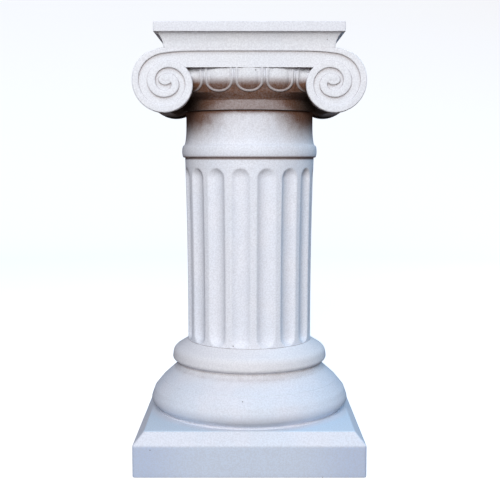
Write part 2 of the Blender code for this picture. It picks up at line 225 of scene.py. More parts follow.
def base_tones_dust_and_shade(tree, place, body, dust_and_shade):
    """A bluer plinth, painted darker on its face and more so to its corners, painted blue light on its
    top, painted shade under the belly and at the foot, dust and painted shade in the groove.
    """
    east, north, height = coordinates(tree, place)
    out = from_axis(east, north)
    rise = height - PLINTH_TOP
    # Painted shade: the plinth's upright face is darker and bluer, and darker still towards its corners
    face = blend_colours(tree, between(out, 0.200, 0.265), PLINTH_FACE_SHADE, PLINTH_CORNER_SHADE)
    below_slope = 1 - between(height - PLINTH_FACE_HEIGHT, -0.004, 0.002)
    body = blend_colours(tree, below_slope, body, face)
    # Painted light: the plinth's top is painted bluer, as a blue light from above tints it
    top = strip(rise, -0.0015, -0.0002, 0.0002, 0.0007) * between(out, 0.171, 0.192)
    body = blend_colours(tree, top, body, PLINTH_TOP_BLUE_LIGHT)
    body = blend_colours(tree, between(rise, 0.056, 0.096), body, UPPER_MOULDING_COLOUR)
    # Painted shade: a grey band under the lower torus's widest part
    belly_shade = strip(rise, 0.007, 0.015, 0.020, 0.030) * 0.27
    body = blend_colours(tree, belly_shade, body, BELLY_SHADE_COLOUR)
    # Painted shade on the foot fillet under the lower torus, and dust and painted shade in the groove
    # under the upper torus
    foot = strip(rise, 0.0004, 0.0010, 0.0024, 0.0032) * 0.17
    return body, dust_and_shade * between(rise, 0.026, 0.056) * 0.9 + foot, DUST_AND_SHADE_COLOUR


# %% Dust and painted shade of the shaft
RING_SHADOW_LINE = 0.5287


def shaft_dust_and_shade(tree, place, body, dust_and_shade):
    """Clean flutes, a painted shadow line under the ring and a neck with dust and painted shade that
    gets darker to its top.
    """
    height = coordinates(tree, place)[2]
    # Painted shadow: a dark line where the ring overhangs the shaft
    line = 1 - between((height - RING_SHADOW_LINE).math("ABSOLUTE"), 0.0008, 0.0046)
    # Dust and painted shade on the neck, under the capital's overhang
    neck_dust_and_shade = (dust_and_shade * 0.9 + 0.09) * between(height, 0.540, 0.595)
    return body, neck_dust_and_shade.math("MAXIMUM", line * 0.8), DUST_AND_SHADE_COLOUR


# %% Dust and painted shade of the capital
CARVING_TOP = 0.678
SCROLLS_TOP = 0.710
FASCIA_COLOUR = (0.745, 0.765, 0.82)
RIM_SHARE = 0.66


def capital_dust_and_shade(tree, place, body, dust_and_shade, belt_share=1.0):
    """Little dust and painted shade on the faces, a belt of both from the eggs' bellies down, the most
    under them, and painted deep shade under the scrolls.
    """
    east, north, height = coordinates(tree, place)
    out = from_axis(east, north)
    side = east.math("ABSOLUTE")
    depth = north.math("ABSOLUTE")
    body = blend_colours(tree, between(height, 0.733, 0.7345), body, FASCIA_COLOUR)

    # The egg row lies within 0.16 m of the axis, and its upper half is kept free of dust and painted
    # shade
    row = 1 - between(out, 0.156, 0.163)
    above_carving = between(height - CARVING_TOP, -0.001, 0.001)
    clean = row * (1 - above_carving) * between(height, 0.643, 0.661)
    abacus = between(height - SCROLLS_TOP, -0.001, 0.001)
    faces = between(depth, 0.128, 0.134) * (1 - row).math("MAXIMUM", above_carving)
    kept = (1 - clean) * (1 - abacus) * (1 - faces * 0.75)
    # Painted shadow: dark strokes beside the steps of the scroll bands
    stroke_shadows = faces * between(sky_shadow(tree, 0.010), 0.15, 0.5) * 0.26

    # The belt of dust and painted shade is mottled, stronger above the lip and stronger towards the
    # scrolls
    mottle = grain(tree, place, 210, 3) - 0.5
    share = 0.74 + between(height, 0.6255, 0.6285) * 0.21
    share = share + between(side, 0.055, 0.10) * 0.2 + mottle * 0.22
    belt = row * (1 - between(height, 0.648, 0.668)) * share * belt_share

    # Painted deep shade, nearly black, lies under the bolsters and in the pocket between each scroll
    # and the shaft
    under = between(out, 0.133, 0.145) * (1 - between(height, 0.604, 0.616))
    under = under * (1 - between(depth, 0.124, 0.130))
    pocket = row * between(side, 0.050, 0.104) * (1 - between(height, 0.636, 0.652)) * 0.8
    deep_shade = under.math("MAXIMUM", pocket)
    dust_and_shade = (dust_and_shade * kept + stroke_shadows).math("MAXIMUM", belt).math("MAXIMUM", deep_shade)
    return body, dust_and_shade.math("MINIMUM", 1.0), blend_colours(tree, deep_shade, DUST_AND_SHADE_COLOUR, DEEP_SHADE_COLOUR)


def rim_dust_and_shade(tree, place, body, dust_and_shade):
    """The rims round the eggs stand out of the belt of dust and painted shade, so they take less of it.
    """
    return capital_dust_and_shade(tree, place, body, dust_and_shade, RIM_SHARE)


# %% Cast stone
PITS = ((0.0107, -0.1362, 0.6735), (-0.0281, -0.1086, 0.2045), (-0.0117, -0.1653, 0.1215))
SPECKLE_COLOUR = (0.46, 0.46, 0.50)
HOLE_SHADE_COLOUR = (0.10, 0.08, 0.07)


def pinholes(tree, place):
    """1 in small round holes: a random scatter of them and the few that are easy to see."""
    cells = {"feature": "F1", "voronoi_dimensions": "3D"}
    sockets = {"Vector": place, "Scale": 24}
    bubble = add_node(tree, "ShaderNodeTexVoronoi", cells, sockets, "Distance")
    hole = 1 - between(bubble, 0.016, 0.03)
    for pit in PITS:
        gap = {"operation": "DISTANCE"}
        away = add_node(tree, "ShaderNodeVectorMath", gap, {0: place, 1: pit}, "Value")
        hole = hole.math("MAXIMUM", 1 - between(away, 0.0007, 0.0015))
    return hole


def cast_stone(name, colour, cool_colour, shade_and_dust_reach, shade_and_dust_rule):
    """Matte plaster with clouds, speckles, dust and painted shade, pinholes painted dark as shade and a
    fine uneven skin.
    """
    material = bpy.data.materials.new(name)
    material.use_nodes = True
    tree = material.node_tree
    place = add_node(tree, "ShaderNodeTexCoord", output="Object")

    clouds = grain(tree, place, 14, 3)
    body = blend_colours(tree, between(clouds, 0.35, 0.68), colour, cool_colour)
    patches = grain(tree, place, 70, 4)
    # Dust and painted shade: darker where an overhang within reach hides the sky
    dust_and_shade = between(sky_shadow(tree, shade_and_dust_reach) + (patches - 0.5) * 0.2, 0.28, 0.66)
    body, dust_and_shade, shade_and_dust_colour = shade_and_dust_rule(tree, place, body, dust_and_shade)
    speckle = grain(tree, place, 420, 3)
    speckled = blend_colours(tree, between(speckle, 0.35, 0.65) * 0.30, body, SPECKLE_COLOUR)
    dusted_and_shaded = blend_colours(tree, dust_and_shade * (0.90 + speckle * 0.16), speckled, shade_and_dust_colour)
    hole = pinholes(tree, place)
    # Painted shade: the pinholes are coloured dark, as the shade inside them
    coloured = blend_colours(tree, hole * 0.7, dusted_and_shaded, HOLE_SHADE_COLOUR)

    surface = tree.nodes["Principled BSDF"]
    tree.links.new(coloured.socket, surface.inputs["Base Color"])
    rough = 0.74 + (speckle - 0.5) * 0.2 + dust_and_shade * 0.1
    tree.links.new(rough.socket, surface.inputs["Roughness"])
    surface.inputs["Specular IOR Level"].default_value = 0.3

    waves = grain(tree, place, 38, 2)
    fine = grain(tree, place, 950, 2)
    relief = waves * 0.6 + speckle * 0.25 + fine * 0.15 - hole * 1.2
    bump = {"Strength": 0.55, "Distance": 0.0009, "Height": relief}
    bumped = add_node(tree, "ShaderNodeBump", None, bump)
    tree.links.new(bumped.socket, surface.inputs["Normal"])
    print(f"{name}: {len(tree.nodes)} nodes")
    return material


# %% The four stones
BASE_COLOURS = (0.735, 0.755, 0.825), (0.695, 0.745, 0.83)
SHAFT_COLOURS = (0.80, 0.82, 0.885), (0.77, 0.805, 0.885)
CAPITAL_COLOURS = (0.80, 0.815, 0.86), (0.78, 0.805, 0.86)
GROOVE_REACH = 0.03
OVERHANG_REACH = 0.12

base_stone = cast_stone("base stone", *BASE_COLOURS, GROOVE_REACH, base_tones_dust_and_shade)
shaft_stone = cast_stone("shaft stone", *SHAFT_COLOURS, OVERHANG_REACH, shaft_dust_and_shade)
capital_stone = cast_stone("capital stone", *CAPITAL_COLOURS, OVERHANG_REACH, capital_dust_and_shade)
rim_stone = cast_stone("rim stone", *CAPITAL_COLOURS, OVERHANG_REACH, rim_dust_and_shade)

# %% [markdown]
# ## Bodies from rings of points
#
# A plasterer runs round mouldings with a metal profile that turns about a peg, and the square plinth
# with the same kind of profile pushed along a rail. The script does both in one way: a profile gives a
# radius or a half width at each height, each point of it becomes one ring, and `skin` closes the rings
# into a body. No real edge is a knife edge, so `soften` rounds every corner of a profile first.

# %% Profiles
NEARLY_STRAIGHT = math.radians(20)
SAME_PLACE = 0.00001
LARGEST_CUT = 0.45


def soften(profile, reach, steps=4):
    """Rounds each corner of a profile, over reach on both sides of it."""
    doubled = {i for i in range(1, len(profile)) if math.dist(profile[i - 1], profile[i]) <= SAME_PLACE}
    profile = [point for i, point in enumerate(profile) if i not in doubled]
    points = [Vector(profile[0])]
    for before, corner, after in zip(profile, profile[1:], profile[2:]):
        corner = Vector(corner)
        back = Vector(before) - corner
        ahead = Vector(after) - corner
        if back.angle(-ahead) < NEARLY_STRAIGHT:
            points.append(corner)
            continue
        cut = min(reach, back.length * LARGEST_CUT, ahead.length * LARGEST_CUT)
        start = corner + back.normalized() * cut
        end = corner + ahead.normalized() * cut
        for i in range(steps + 1):
            share = i / steps
            early = start * (1 - share) ** 2 + corner * 2 * share * (1 - share)
            points.append(early + end * share ** 2)
    points.append(Vector(profile[-1]))
    return points


def spread(profile, step=0.004):
    """Adds points to the long stretches of a profile, so that its flats shade evenly."""
    points = [profile[0]]
    for start, end in zip(profile, profile[1:]):
        length = (end - start).length
        if start.x == 0 or end.x == 0:
            near = min(step, length / 2) / length
            points.append(start.lerp(end, 1 - near if start.x == 0 else near))
        else:
            count = math.ceil(length / step)
            points += [start.lerp(end, i / count) for i in range(1, count)]
        points.append(end)
    return points


def bulge(foot, top, depth, steps):
    """Points of a convex moulding, from its top down to its foot, that stands out by depth halfway."""
    points = []
    for i in range(steps + 1):
        angle = math.pi * i / steps
        share = (1 - math.cos(angle)) / 2
        radius = top[0] + (foot[0] - top[0]) * share + depth * math.sin(angle)
        points.append((radius, top[1] + (foot[1] - top[1]) * share))
    return points


# %% Rings and skin
def round_ring(radius, height, count):
    if radius == 0:
        return [(0, 0, height)]
    angles = [2 * math.pi * i / count for i in range(count)]
    return [(radius * math.cos(angle), radius * math.sin(angle), height) for angle in angles]


def square_ring(half, height, corner, steps=4):
    """A square loop whose four corners are rounded, with a spare point beside each corner."""
    if half == 0:
        return [(0, 0, height)]
    points = []
    for quarter in range(4):
        turn = Matrix.Rotation(quarter * math.pi / 2, 2)
        arc = [(half, half - 3 * corner)]
        for i in range(steps + 1):
            angle = math.pi / 2 * i / steps
            across, along = corner * math.cos(angle), corner * math.sin(angle)
            arc.append((half - corner + across, half - corner + along))
        arc.append((half - 3 * corner, half))
        points += [(*(turn @ Vector(point)), height) for point in arc]
    return points


def add_piece(name, points, faces):
    mesh = bpy.data.meshes.new(name)
    mesh.from_pydata(points, [], faces)
    piece = bpy.data.objects.new(name, mesh)
    bpy.context.scene.collection.objects.link(piece)
    return piece


def skin(name, rings):
    """A closed body over rings, from its top down to its foot. A ring of one point is a pole."""
    points = []
    loops = []
    count = max(len(ring) for ring in rings)
    for ring in rings:
        first = len(points)
        points += ring
        loops.append([first + (i if len(ring) > 1 else 0) for i in range(count)])
    faces = []
    for upper, lower in zip(loops, loops[1:]):
        for i in range(count):
            following = (i + 1) % count
            face = (upper[i], lower[i], lower[following], upper[following])
            faces.append(list(dict.fromkeys(face)))
    return add_piece(name, points, faces)


# %% Finishing a piece
SHARP_ANGLE = math.radians(40)


def finished(piece, node, material=None):
    """Shades a piece softly, ties it to the CAD model and prints what was made."""
    mesh = piece.data
    mesh.shade_smooth()
    mesh.set_sharp_from_angle(angle=SHARP_ANGLE)
    if material:
        mesh.materials.append(material)
    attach(piece, "root")
    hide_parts(node)
    triangles = sum(len(face.vertices) - 2 for face in mesh.polygons)
    loose = sum(1 for count in edge_uses(mesh).values() if count != 2)
    print(f"{piece.name}: {triangles} triangles, {loose} open edges")


def edge_uses(mesh):
    uses = {}
    for face in mesh.polygons:
        for key in face.edge_keys:
            uses[key] = uses.get(key, 0) + 1
    return uses


# %% [markdown]
# ## Plinth
#
# The square block at the foot has an upright face and a sloping edge above it. A cube with a bevel
# would do for the block, but then its upright corners would be cut off as widely as its top edge. So
# it is made from a profile as the round mouldings are, over square rings with small round corners.

# %% Plinth
PLINTH_HALF = 0.389 / 2
PLINTH_SLOPE_RUN = 0.018
PLINTH_CORNER = 0.004
PLINTH_ARRIS = 0.0016

slope_top = PLINTH_HALF - PLINTH_SLOPE_RUN
plinth_profile = [(0, PLINTH_TOP), (slope_top, PLINTH_TOP), (PLINTH_HALF, PLINTH_FACE_HEIGHT)]
plinth_profile += [(PLINTH_HALF, 0), (0, 0)]
plinth_levels = spread(soften(plinth_profile, PLINTH_ARRIS), 0.006)
plinth = skin("plinth", [square_ring(half, height, PLINTH_CORNER) for half, height in plinth_levels])
finished(plinth, "base", base_stone)

# %% [markdown]
# ## Round mouldings of the base
#
# On the plinth lie a thin fillet, a big round moulding called the lower torus, a sloping shoulder, a
# groove and a slimmer upper torus, whose top slopes in to the shaft. The lower torus meets the shoulder
# in a faint crease, because it was run with a tool of its own. A half circle is too full for either
# torus, so each is a few corners of a profile that `soften` rounds over a long way.

# %% Base mouldings
BASE_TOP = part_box("base")[1].z
SHAFT_FOOT_RADIUS = 0.112
# Radius and height of each corner
UPPER_TORUS = [(0.1385, 0.1838), (0.1408, 0.1655), (0.132, 0.1600)]
SHOULDER_TOP = (0.1335, 0.152)
SHOULDER_FOOT = (0.1592, 0.1291)
LOWER_TORUS = [(0.1593, 0.1280), (0.1606, 0.1273), (0.1735, 0.1115), (0.1815, 0.0895), (0.166, 0.0765)]
UPPER_BEND = 0.012
GROOVE_BEND = 0.008
LOWER_BEND = 0.014
BASE_ARRIS = 0.0009
FOOT_FILLET_RADIUS = 0.168
SUNK_FOOT = PLINTH_TOP - 0.004
ROUND_POINTS = 288

base_profile = [(0, BASE_TOP)]
base_profile += soften([(SHAFT_FOOT_RADIUS, BASE_TOP)] + UPPER_TORUS, UPPER_BEND, 10)
base_profile += soften([UPPER_TORUS[-1], SHOULDER_TOP, SHOULDER_FOOT], GROOVE_BEND, 8)[1:]
base_profile += soften(LOWER_TORUS, LOWER_BEND, 10)
base_profile += [(FOOT_FILLET_RADIUS, LOWER_TORUS[-1][1]), (FOOT_FILLET_RADIUS, SUNK_FOOT)]
base_profile += [(0, SUNK_FOOT)]
base_levels = spread(soften(base_profile, BASE_ARRIS))
base_mouldings = skin("base_mouldings", [round_ring(*level, ROUND_POINTS) for level in base_levels])
finished(base_mouldings, "base", base_stone)

# %% [markdown]
# ## Geometry Nodes helpers
#
# A Geometry Nodes tree is a small program that Blender runs on a mesh. `new_tree` gives it named
# inputs, `end_tree` closes it with the two nodes that turn its instances into real mesh and paint it,
# `use_tree` puts it on a piece and fills the inputs in, and `make_plain` keeps only the resulting mesh.

# %% Trees on pieces
MERGE_DISTANCE = 0.000002


def new_tree(name, inputs):
    tree = bpy.data.node_groups.new(name, "GeometryNodeTree")
    tree.interface.new_socket("Geometry", in_out="INPUT", socket_type="NodeSocketGeometry")
    for label, kind in inputs.items():
        tree.interface.new_socket(label, in_out="INPUT", socket_type=f"NodeSocket{kind}")
    tree.interface.new_socket("Geometry", in_out="OUTPUT", socket_type="NodeSocketGeometry")
    entry = tree.nodes.new("NodeGroupInput")
    return tree, {socket.name: Wire(tree, socket) for socket in entry.outputs if socket.name}


def end_tree(tree, geometry, material):
    real = add_node(tree, "GeometryNodeRealizeInstances", None, {"Geometry": geometry})
    painted = add_node(tree, "GeometryNodeSetMaterial", None, {"Geometry": real, "Material": material})
    exit_node = tree.nodes.new("NodeGroupOutput")
    tree.links.new(painted.socket, exit_node.inputs["Geometry"])


def use_tree(piece, tree, values):
    modifier = piece.modifiers.new(tree.name, "NODES")
    modifier.node_group = tree
    for item in tree.interface.items_tree:
        if item.in_out == "INPUT" and item.name in values:
            modifier[item.identifier] = values[item.name]


def make_plain(piece):
    """Keeps the mesh that the modifiers make, with its doubles merged and its faces outwards."""
    graph = bpy.context.evaluated_depsgraph_get()
    mesh = bpy.data.meshes.new_from_object(piece.evaluated_get(graph))
    piece.modifiers.clear()
    piece.data = mesh
    work = bmesh.new()
    work.from_mesh(mesh)
    bmesh.ops.remove_doubles(work, verts=work.verts, dist=MERGE_DISTANCE)
    bmesh.ops.recalc_face_normals(work, faces=work.faces)
    work.to_mesh(mesh)
    work.free()
    return piece


# %% [markdown]
# ## Shaft
#
# The shaft is a plain turned body first: a foot, a long part that widens slightly towards the top, a
# ring, a hollow and a neck. Then sixteen flutes are cut into it. A Boolean with sixteen rods would cut
# them, but it leaves knife edges and long thin faces. A rule is better: each flute is what a ball-ended
# cutter takes away, so every point of the shaft moves in to the cutter's surface where the cutter is
# deeper than the stone. `SMOOTH_MIN` picks the deeper of the two and rounds the edge between them. The
# rows of points lie close together where the flutes end, because the ends are round as well.

# %% Plain shaft
SHAFT_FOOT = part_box("shaft")[0].z
SHAFT_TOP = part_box("shaft")[1].z
FLUTE_COUNT = 16
FLUTE_HALF = 0.032 / 2
FLUTE_DEPTH = 0.0070
FLUTE_FOOT = SHAFT_FOOT + 0.0018
FLUTE_TOP = FLUTE_FOOT + 0.3075
RING_FOOT = FLUTE_TOP + 0.0195
RING_TOP = RING_FOOT + 0.0216
COVE_TOP = RING_TOP + 0.0326
COVE_STEPS = 12
RING_STAND = 0.0022
RING_BULGE = 0.0031
NECK_RADIUS = 0.1135
FLARE = 0.004
FLARE_START = SHAFT_FOOT + 0.050
SHAFT_ARRIS = 0.0008
FINE_ROW = 0.0009
COARSE_ROW = 0.010
COLUMNS_PER_FLUTE = 36


def shaft_radius(height):
    share = max(0.0, (height - FLARE_START) / (RING_FOOT - FLARE_START))
    return SHAFT_FOOT_RADIUS + FLARE * share * share


def shaft_rows():
    """Heights of the fluted part, from its top down, close together where the flutes end."""
    heights = []
    height = RING_FOOT
    while height > SHAFT_FOOT + SHAFT_ARRIS:
        heights.append(height)
        to_end = min(abs(height - FLUTE_FOOT), abs(height - FLUTE_TOP))
        height -= FINE_ROW if to_end < FLUTE_HALF + 0.001 else COARSE_ROW
    return heights


ring_radius = shaft_radius(RING_FOOT) + RING_STAND
shaft_profile = [(0, SHAFT_TOP), (NECK_RADIUS, SHAFT_TOP), (NECK_RADIUS, COVE_TOP)]
for i in range(1, COVE_STEPS):
    angle = math.pi / 2 * (1 - i / COVE_STEPS)
    hollow = NECK_RADIUS + (ring_radius - NECK_RADIUS) * (1 - math.sin(angle))
    shaft_profile.append((hollow, RING_TOP + (COVE_TOP - RING_TOP) * (1 - math.cos(angle))))
shaft_profile += bulge((ring_radius, RING_FOOT), (ring_radius, RING_TOP), RING_BULGE, 12)
shaft_profile.append((shaft_radius(RING_FOOT), RING_FOOT))
shaft_levels = spread(soften(shaft_profile, SHAFT_ARRIS))[:-1]
shaft_levels += [Vector((shaft_radius(height), height)) for height in shaft_rows()]
shaft_levels += [Vector((SHAFT_FOOT_RADIUS, SHAFT_FOOT)), Vector((0, SHAFT_FOOT))]
columns = FLUTE_COUNT * COLUMNS_PER_FLUTE
shaft = skin("fluted_shaft", [round_ring(*level, columns) for level in shaft_levels])
print(f"{len(shaft_levels)} rows of {columns} points")

# %% The cutter's rule
FLUTE_EDGE = 0.0036
FLUTE_TURN = math.radians(-90 - 7.6)
ABOVE_FLUTES = 0.004

flutes, given = new_tree("cut_flutes", {
    "Count": "Int", "Half width": "Float", "Depth": "Float", "Foot": "Float", "Top": "Float",
    "Turn": "Float", "Edge": "Float", "Material": "Material",
})
east, north, height = coordinates(flutes, add_node(flutes, "GeometryNodeInputPosition"))
stone_radius = from_axis(east, north)
pitch = 2 * math.pi / given["Count"]
around = north.math("ARCTAN2", east) - given["Turn"]
aside = around - (around / pitch).math("ROUND") * pitch
half, depth = given["Half width"], given["Depth"]
ball = (half * half + depth * depth) / (depth * 2)
edge_drop = stone_radius - (stone_radius * stone_radius - half * half).math("SQRT")
centre = stone_radius + ball - depth - edge_drop
below, above = given["Foot"] + half - height, height - given["Top"] + half
beyond = below.math("MAXIMUM", above).math("MAXIMUM", 0.0)
off_axis = centre * aside.math("SINE")
chord = (ball * ball - beyond * beyond - off_axis * off_axis).math("MAXIMUM", 0.0).math("SQRT")
cut_radius = centre * aside.math("COSINE") - chord
on_side = height.math("LESS_THAN", given["Top"] + ABOVE_FLUTES)
carved = stone_radius.math("SMOOTH_MIN", cut_radius, given["Edge"])
scale = 1 + (carved / stone_radius.math("MAXIMUM", 0.0001) - 1) * on_side
moved = add_node(flutes, "ShaderNodeCombineXYZ", None, {0: east * scale, 1: north * scale, 2: height})
placed = {"Geometry": given["Geometry"], "Position": moved}
end_tree(flutes, add_node(flutes, "GeometryNodeSetPosition", None, placed), given["Material"])

use_tree(shaft, flutes, {
    "Count": FLUTE_COUNT, "Half width": FLUTE_HALF, "Depth": FLUTE_DEPTH, "Foot": FLUTE_FOOT,
    "Top": FLUTE_TOP, "Turn": FLUTE_TURN, "Edge": FLUTE_EDGE, "Material": shaft_stone,
})
make_plain(shaft)
finished(shaft, "shaft")

# %% [markdown]
# ## Echinus and band
#
# Under the scrolls the capital is round again: a plain band, a thin lip and the echinus, the moulding
# that carries the carving. Band and lip are turned. The echinus starts round on the lip too, but its
# front and its back get flatter upwards, so that the eggs stand in a row that bends only a little.
# `row_stretch` gives that plan: it pushes each point of a turned ring out to a much wider circle.

# %% Echinus
BED_GAP = 0.0003
CAPITAL_FOOT = SHAFT_TOP + BED_GAP
CAPITAL_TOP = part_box("capital")[1].z
BAND_RADIUS = 0.119
BAND_TOP = CAPITAL_FOOT + 0.0178
LIP = 0.002
LIP_TOP = BAND_TOP + 0.001
ECHINUS_HEIGHT = 0.0496
ECHINUS_OVERHANG = 0.0156
SOFFIT_RUN = 0.0065
SOFFIT_SHARE = 0.2
CANALIS_FOOT = LIP_TOP + ECHINUS_HEIGHT
ABACUS_FOOT = CANALIS_FOOT + 0.0309
HIDDEN = 0.004
ECHINUS_STEPS = 20
ECHINUS_ARRIS = 0.0007


def echinus_radius(height):
    share = min(1.0, max(0.0, (height - LIP_TOP) / ECHINUS_HEIGHT))
    if share < SOFFIT_SHARE:
        return BAND_RADIUS + LIP + SOFFIT_RUN * share / SOFFIT_SHARE
    slope = (share - SOFFIT_SHARE) / (1 - SOFFIT_SHARE)
    return BAND_RADIUS + LIP + SOFFIT_RUN + (ECHINUS_OVERHANG - SOFFIT_RUN) * slope ** 0.9


ROW_RADIUS = 0.30
ROW_TOP = echinus_radius(CANALIS_FOOT)
ROW_BACK = ROW_RADIUS - ROW_TOP
ROW_SIDE = 0.112
EGG_SPACING = 0.0518


def row_stretch(angle, height):
    """How much further out than the round plan the flatter plan of the egg row lies."""
    across, along = abs(math.cos(angle)), abs(math.sin(angle))
    arc = math.sqrt(ROW_RADIUS ** 2 - (ROW_BACK * across) ** 2) - ROW_BACK * along
    plan = min(arc, ROW_SIDE / max(across, 0.001))
    share = (height - LIP_TOP) / ECHINUS_HEIGHT / SOFFIT_SHARE
    return 1 + (plan / ROW_TOP - 1) * min(1.0, max(0.0, share))


echinus_profile = [(0, CANALIS_FOOT + HIDDEN), (ROW_TOP, CANALIS_FOOT + HIDDEN)]
for i in range(ECHINUS_STEPS + 1):
    height = CANALIS_FOOT - (CANALIS_FOOT - LIP_TOP) * i / ECHINUS_STEPS
    echinus_profile.append((echinus_radius(height), height))
echinus_profile += [(BAND_RADIUS + LIP, BAND_TOP), (BAND_RADIUS, BAND_TOP)]
echinus_profile += [(BAND_RADIUS, CAPITAL_FOOT), (0, CAPITAL_FOOT)]
echinus_rings = []
for radius, height in spread(soften(echinus_profile, ECHINUS_ARRIS)):
    ring = round_ring(radius, height, ROUND_POINTS)
    for i, (x, y, z) in enumerate(ring):
        stretch = row_stretch(2 * math.pi * i / ROUND_POINTS, height)
        ring[i] = (x * stretch, y * stretch, z)
    echinus_rings.append(ring)
echinus = skin("echinus", echinus_rings)
finished(echinus, "capital", capital_stone)

# %% [markdown]
# ## Repeating a piece about a centre
#
# The eggs come back along their row, which bends about a centre behind it, and all the carving of the
# front comes back at the back, by half a turn about the column's axis. An Array modifier could do it
# with a helper object to turn about. One tree needs no helper: it sets points on the centre, turns a
# copy of the piece at each and makes the copies real. An egg goes through it twice, first along its
# row and then to the back.

# %% Repeat round
repeat_round, given = new_tree("repeat_round", {
    "Count": "Int", "Pitch": "Float", "First": "Float", "Centre": "Vector", "Material": "Material",
})
centre_back = {0: given["Centre"], "Scale": -1.0}
back = add_node(repeat_round, "ShaderNodeVectorMath", {"operation": "SCALE"}, centre_back)
to_centre = {"Geometry": given["Geometry"], "Translation": back}
centred = add_node(repeat_round, "GeometryNodeTransform", None, to_centre)
spot_line = {"Count": given["Count"], "Start Location": given["Centre"], "Offset": (0, 0, 0)}
spots = add_node(repeat_round, "GeometryNodeMeshLine", None, spot_line)
angle = given["First"] + add_node(repeat_round, "GeometryNodeInputIndex") * given["Pitch"]
turn = add_node(repeat_round, "ShaderNodeCombineXYZ", None, {2: angle})
set_out = {"Points": spots, "Instance": centred, "Rotation": turn}
copies = add_node(repeat_round, "GeometryNodeInstanceOnPoints", None, set_out)
end_tree(repeat_round, copies, given["Material"])


def on_row(piece, count, material):
    """Spaces copies of a piece evenly along the egg row."""
    pitch = EGG_SPACING / ROW_RADIUS
    use_tree(piece, repeat_round, {
        "Count": count, "Pitch": pitch, "First": -pitch * (count - 1) / 2,
        "Centre": (0, ROW_BACK, 0), "Material": material,
    })


def on_both_faces(piece, material):
    """Copies a piece of the front to the back and finishes both as part of the capital."""
    use_tree(piece, repeat_round, {
        "Count": 2, "Pitch": math.pi, "First": 0.0, "Centre": (0, 0, 0), "Material": material,
    })
    finished(make_plain(piece), "capital")


# %% [markdown]
# ## Egg and dart
#
# The carving of the echinus is a row of eggs, each in a raised rim that hangs round it like a U, with a
# thin dart between two rims. On the real capital they are cast with it. Here one egg, one rim and one
# dart are modelled in the middle of the front and repeated: five eggs in their rims and four darts
# between them reach from scroll to scroll. An egg could be a scaled sphere, but the carved one is
# fuller, so its rings are drawn with squarer curves.

# %% Tubes along a path
def tube(name, path, radius, sides=12):
    """A closed round rod along a path."""
    rings = []
    for i, place in enumerate(path):
        ahead = (path[min(i + 1, len(path) - 1)] - path[max(i - 1, 0)]).normalized()
        across = ahead.cross(Vector((0, 1, 0))).normalized()
        up = ahead.cross(across)
        ring = []
        for k in range(sides):
            angle = 2 * math.pi * k / sides
            ring.append(tuple(place + (across * math.cos(angle) + up * math.sin(angle)) * radius))
        rings.append(ring)
    return skin(name, [[tuple(path[0])]] + rings + [[tuple(path[-1])]])


def on_echinus(across, height, stand):
    """A point on the front of the echinus, or before it by stand; across runs along its bend."""
    radius = ROW_RADIUS + echinus_radius(height) - ROW_TOP
    out = Vector((math.sin(across / radius), -math.cos(across / radius), 0))
    return out * (radius + stand) + Vector((0, ROW_BACK, height))


# %% Eggs
EGG_HALF_WIDTH = 0.0183
EGG_HALF_HEIGHT = 0.0285
EGG_DEPTH = 0.0135
EGG_DROP = 0.009
EGG_MIDDLE_OUT = 0.1234
EGG_LEAN = 6
EGG_SQUARENESS = 0.7
EGG_ROWS = 28
EGG_COLUMNS = 40
EGG_COUNT = 5

egg_middle = Vector((0, -EGG_MIDDLE_OUT, CANALIS_FOOT - EGG_DROP))
lean = Matrix.Rotation(math.radians(EGG_LEAN), 3, "X")


def squared(value):
    return math.copysign(abs(value) ** EGG_SQUARENESS, value)


egg_rings = []
for i in range(EGG_ROWS + 1):
    angle = math.pi * i / EGG_ROWS
    girth = math.sin(angle) ** EGG_SQUARENESS
    up = squared(math.cos(angle)) * EGG_HALF_HEIGHT
    ring = []
    for k in range(EGG_COLUMNS):
        around = 2 * math.pi * k / EGG_COLUMNS
        across = squared(math.cos(around)) * girth * EGG_HALF_WIDTH
        out = squared(math.sin(around)) * girth * EGG_DEPTH
        ring.append(tuple(egg_middle + lean @ Vector((across, out, up))))
    egg_rings.append(ring[:1] if i in (0, EGG_ROWS) else ring)
eggs = skin("eggs", egg_rings)
on_row(eggs, EGG_COUNT, capital_stone)
on_both_faces(eggs, capital_stone)

# %% Rims
RIM_HALF_WIDTH = 0.0209
RIM_BEND = 0.0150
RIM_DROP = 0.0375
RIM_RADIUS = 0.0022
RIM_STAND = 0.0005
LEG_STEPS = 5
BEND_STEPS = 32
CARVING_START = CANALIS_FOOT + 0.002

bend_top = CANALIS_FOOT - RIM_DROP + RIM_BEND
rim_path = []
for i in range(LEG_STEPS):
    height = CARVING_START + (bend_top - CARVING_START) * i / LEG_STEPS
    rim_path.append(on_echinus(RIM_HALF_WIDTH, height, RIM_STAND))
for i in range(BEND_STEPS + 1):
    angle = math.pi * i / BEND_STEPS
    height = bend_top - RIM_BEND * math.sin(angle)
    rim_path.append(on_echinus(RIM_HALF_WIDTH * math.cos(angle), height, RIM_STAND))
rim_path += [Vector((-point.x, point.y, point.z)) for point in reversed(rim_path[:LEG_STEPS])]
rims = tube("egg_rims", rim_path, RIM_RADIUS)
on_row(rims, EGG_COUNT, rim_stone)
on_both_faces(rims, rim_stone)

# %% Darts
DART_DROP = 0.0385
DART_HEAD = 0.012
head_top = CANALIS_FOOT - DART_DROP + DART_HEAD

